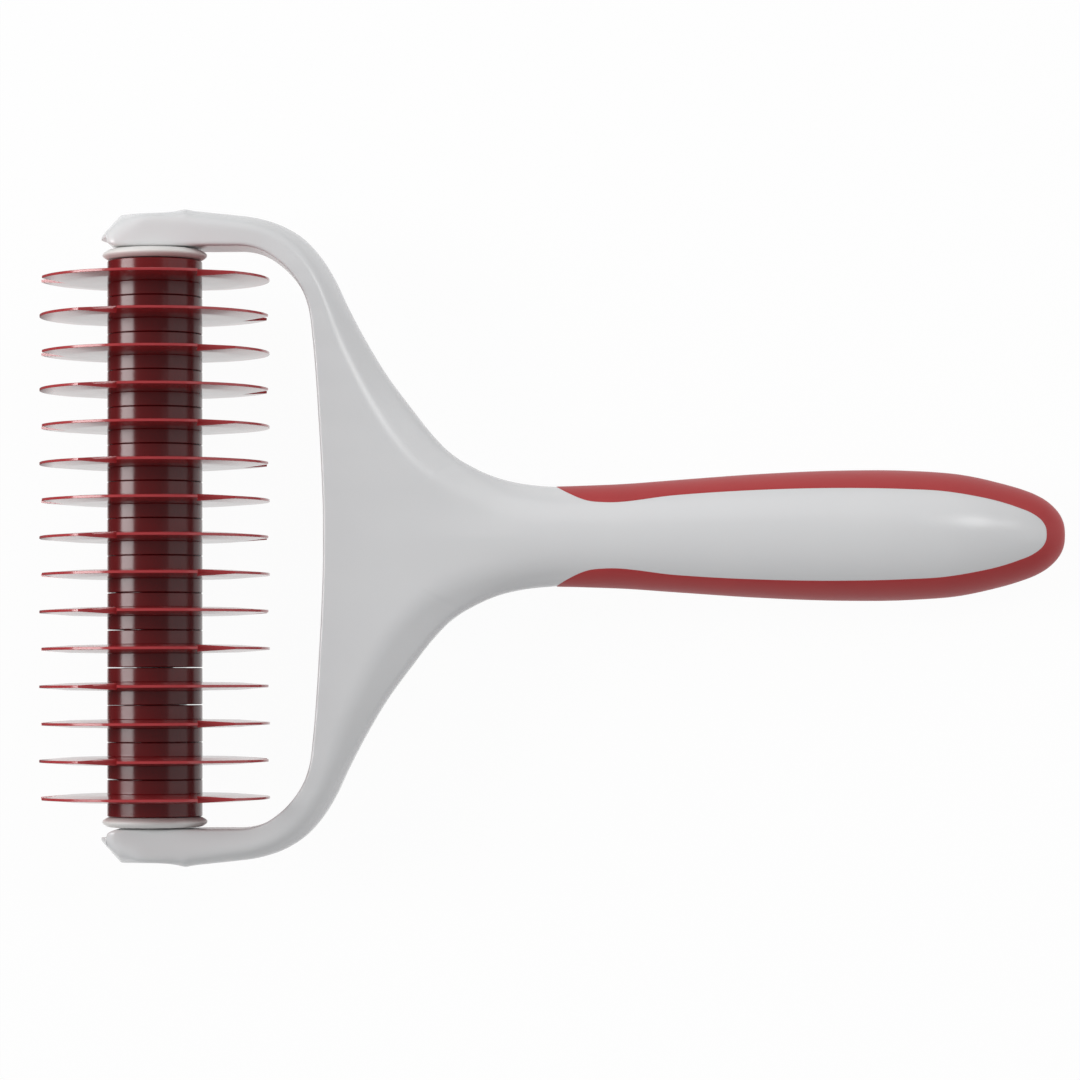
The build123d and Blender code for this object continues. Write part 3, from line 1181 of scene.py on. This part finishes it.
@dataclass
class Studio:
    """The pale floor, the soft boxes, the white surround and the camera."""

    layout: Layout
    handle: HandleForm
    # The camera, in millimetres and degrees, and its focal length in pixels of the photograph
    distance: float = 812.0
    offset: tuple[float, float] = (75.1, -29.0)
    tilt: float = 2.0
    roll: float = -0.2
    focal_pixels: float = 4161.0
    sensor_width: float = 36.0
    far_clip: float = 20.0
    # The surround: what lights the cutter from all round, and the white that the camera sees
    fill_colour: str = "FCFDFF"
    fill_strength: float = 0.335
    white: str = "FFFFFF"
    # The floor: half its side in metres, and how far it lies under the blades in millimetres
    floor_half: float = 4.0
    floor_gap: float = 0.3
    floor_colour: str = "EDEDED"
    floor_white_share: float = 0.96
    # In front of the drum glossy surfaces see the floor dark: a painted dark reflection.
    # Its soft edge lies between these two places in front of the axle, in millimetres
    dark_reflection_edge: tuple[float, float] = (27.0, 23.0)
    dark_reflection_strength: float = 0.08
    lamps: tuple[SoftBox, ...] = (
        SoftBox("left_softbox", (-1.15, 0.14, 0.52), (0.45, 0.8), 10.5),
        SoftBox("right_softbox", (1.3, 0.1, 0.7), (0.8, 1.3), 2.4),
        SoftBox("back_softbox", (0.05, 0.5, 0.45), (0.9, 0.5), 1.25),
        SoftBox("top_softbox", (0.62, 0.42, 1.05), (0.26, 0.26), 1.7),
    )

    def surround(self) -> None:
        """Makes the surround: white to the camera, and a dim fill to all that it lights."""
        world = bpy.data.worlds.new("studio_surround")
        bpy.context.scene.world = world
        world.use_nodes = True
        tree = world.node_tree
        tree.nodes.clear()
        rays = add_node(tree, "ShaderNodeLightPath").outputs
        seen = add_node(
            tree,
            "ShaderNodeMath",
            {"operation": "MAXIMUM"},
            {0: rays["Is Camera Ray"], 1: rays["Is Transmission Ray"]},
        ).outputs[0]
        fill, white = (
            add_node(tree, "ShaderNodeBackground", {"Color": linear(code), "Strength": strength})
            for code, strength in ((self.fill_colour, self.fill_strength), (self.white, 1.0))
        )
        ends = {0: seen, 1: fill.outputs[0], 2: white.outputs[0]}
        mix = add_node(tree, "ShaderNodeMixShader", links=ends)
        add_node(tree, "ShaderNodeOutputWorld", links={"Surface": mix.outputs[0]})

    def floor_finish(self) -> bpy.types.Material:
        """Makes the floor's finish: matt where it takes a shadow, white where it is only seen.

        Glossy rays see it white too, but dim in front of the drum: a painted dark reflection.

        Returns:
            The new material.
        """
        material = bpy.data.materials.new("pale_floor")
        material.use_nodes = True
        tree = material.node_tree
        tree.nodes.clear()
        rays = add_node(tree, "ShaderNodeLightPath").outputs
        seen = add_node(
            tree,
            "ShaderNodeMath",
            {"operation": "MAXIMUM"},
            {0: rays["Is Camera Ray"], 1: rays["Is Glossy Ray"]},
        ).outputs[0]
        share = add_node(
            tree, "ShaderNodeMath", {"operation": "MULTIPLY", 1: self.floor_white_share}, {0: seen}
        ).outputs[0]
        # In front of the drum the glow that glossy rays see falls: a painted dark reflection
        place = add_node(tree, "ShaderNodeTexCoord").outputs["Object"]
        along = add_node(tree, "ShaderNodeSeparateXYZ", links={"Vector": place}).outputs["X"]
        start, end = (self.layout.axis.x - edge * MM for edge in self.dark_reflection_edge)
        span = {"From Min": start, "From Max": end, "To Min": self.dark_reflection_strength}
        painted_reflection_strength = add_node(tree, "ShaderNodeMapRange", span, {"Value": along}).outputs["Result"]
        strength = add_node(
            tree,
            "ShaderNodeMath",
            {"operation": "MAXIMUM"},
            {0: rays["Is Camera Ray"], 1: painted_reflection_strength},
        ).outputs[0]
        matt = add_node(tree, "ShaderNodeBsdfDiffuse", {"Color": linear(self.floor_colour)})
        glow = add_node(
            tree, "ShaderNodeEmission", {"Color": linear(self.white)}, {"Strength": strength}
        )
        ends = {0: share, 1: matt.outputs[0], 2: glow.outputs[0]}
        mix = add_node(tree, "ShaderNodeMixShader", links=ends)
        add_node(tree, "ShaderNodeOutputMaterial", links={"Surface": mix.outputs[0]})
        return material

    def floor(self) -> None:
        """Lays the pale floor just under the blades and the handle."""
        drum = self.layout.blade_radius
        lowest = [self.layout.at(row.x, 0, -row.z) for row in self.handle.rows]
        slope = min(
            math.asin(drum / math.hypot(p.x - self.layout.axis.x, p.z - self.layout.axis.z))
            - math.atan2(self.layout.axis.z - p.z, p.x - self.layout.axis.x)
            for p in lowest
        )
        bm = bmesh.new()
        bmesh.ops.create_grid(bm, x_segments=2, y_segments=2, size=self.floor_half)
        mesh = bpy.data.meshes.new("pale_floor")
        bm.to_mesh(mesh)
        bm.free()
        under = self.layout.axis - Vector((0, 0, drum + self.floor_gap * MM))
        pivot = Matrix.Translation(self.layout.axis)
        lean = pivot @ Matrix.Rotation(-slope, 4, "Y") @ pivot.inverted()
        mesh.transform(lean @ Matrix.Translation(under))
        mesh.materials.append(self.floor_finish())
        floor = bpy.data.objects.new("pale_floor", mesh)
        bpy.context.scene.collection.objects.link(floor)

    def camera(self) -> None:
        """Sets the camera over the cutter, as in the photograph."""
        data = bpy.data.cameras.new("camera")
        data.sensor_width = self.sensor_width
        data.lens = self.focal_pixels / IMAGE_SIDE * data.sensor_width
        data.dof.use_dof = False
        data.clip_end = self.far_clip
        camera = bpy.data.objects.new("camera", data)
        camera.location = self.layout.at(self.offset[0], self.offset[1], self.distance)
        camera.rotation_euler = (math.radians(self.tilt), 0, math.radians(self.roll))
        bpy.context.scene.collection.objects.link(camera)
        bpy.context.scene.camera = camera

    def build(self) -> None:
        """Sets up everything round the cutter."""
        self.camera()
        self.surround()
        self.floor()
        for box in self.lamps:
            box.hang(self.layout.axis)
        bpy.context.scene.view_settings.view_transform = "Standard"


def main() -> None:
    """Builds every part of the cutter in turn."""
    logging.basicConfig(level=logging.INFO, format="%(name)s %(message)s")
    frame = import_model()
    layout = Layout(frame)
    handle = HandleForm(layout)
    Studio(layout, handle).build()
    moulding = ForkMoulding(layout, handle).build()
    LOG.info("%s: %d faces", moulding.name, len(moulding.data.polygons))
    band = GripBand(layout, handle).build()
    LOG.info("%s: %d faces", band.name, len(band.data.polygons))
    for piece in BladeDrum(layout).build():
        LOG.info("%s: %d faces", piece.name, len(piece.data.polygons))


if __name__ == "__main__":
    main()
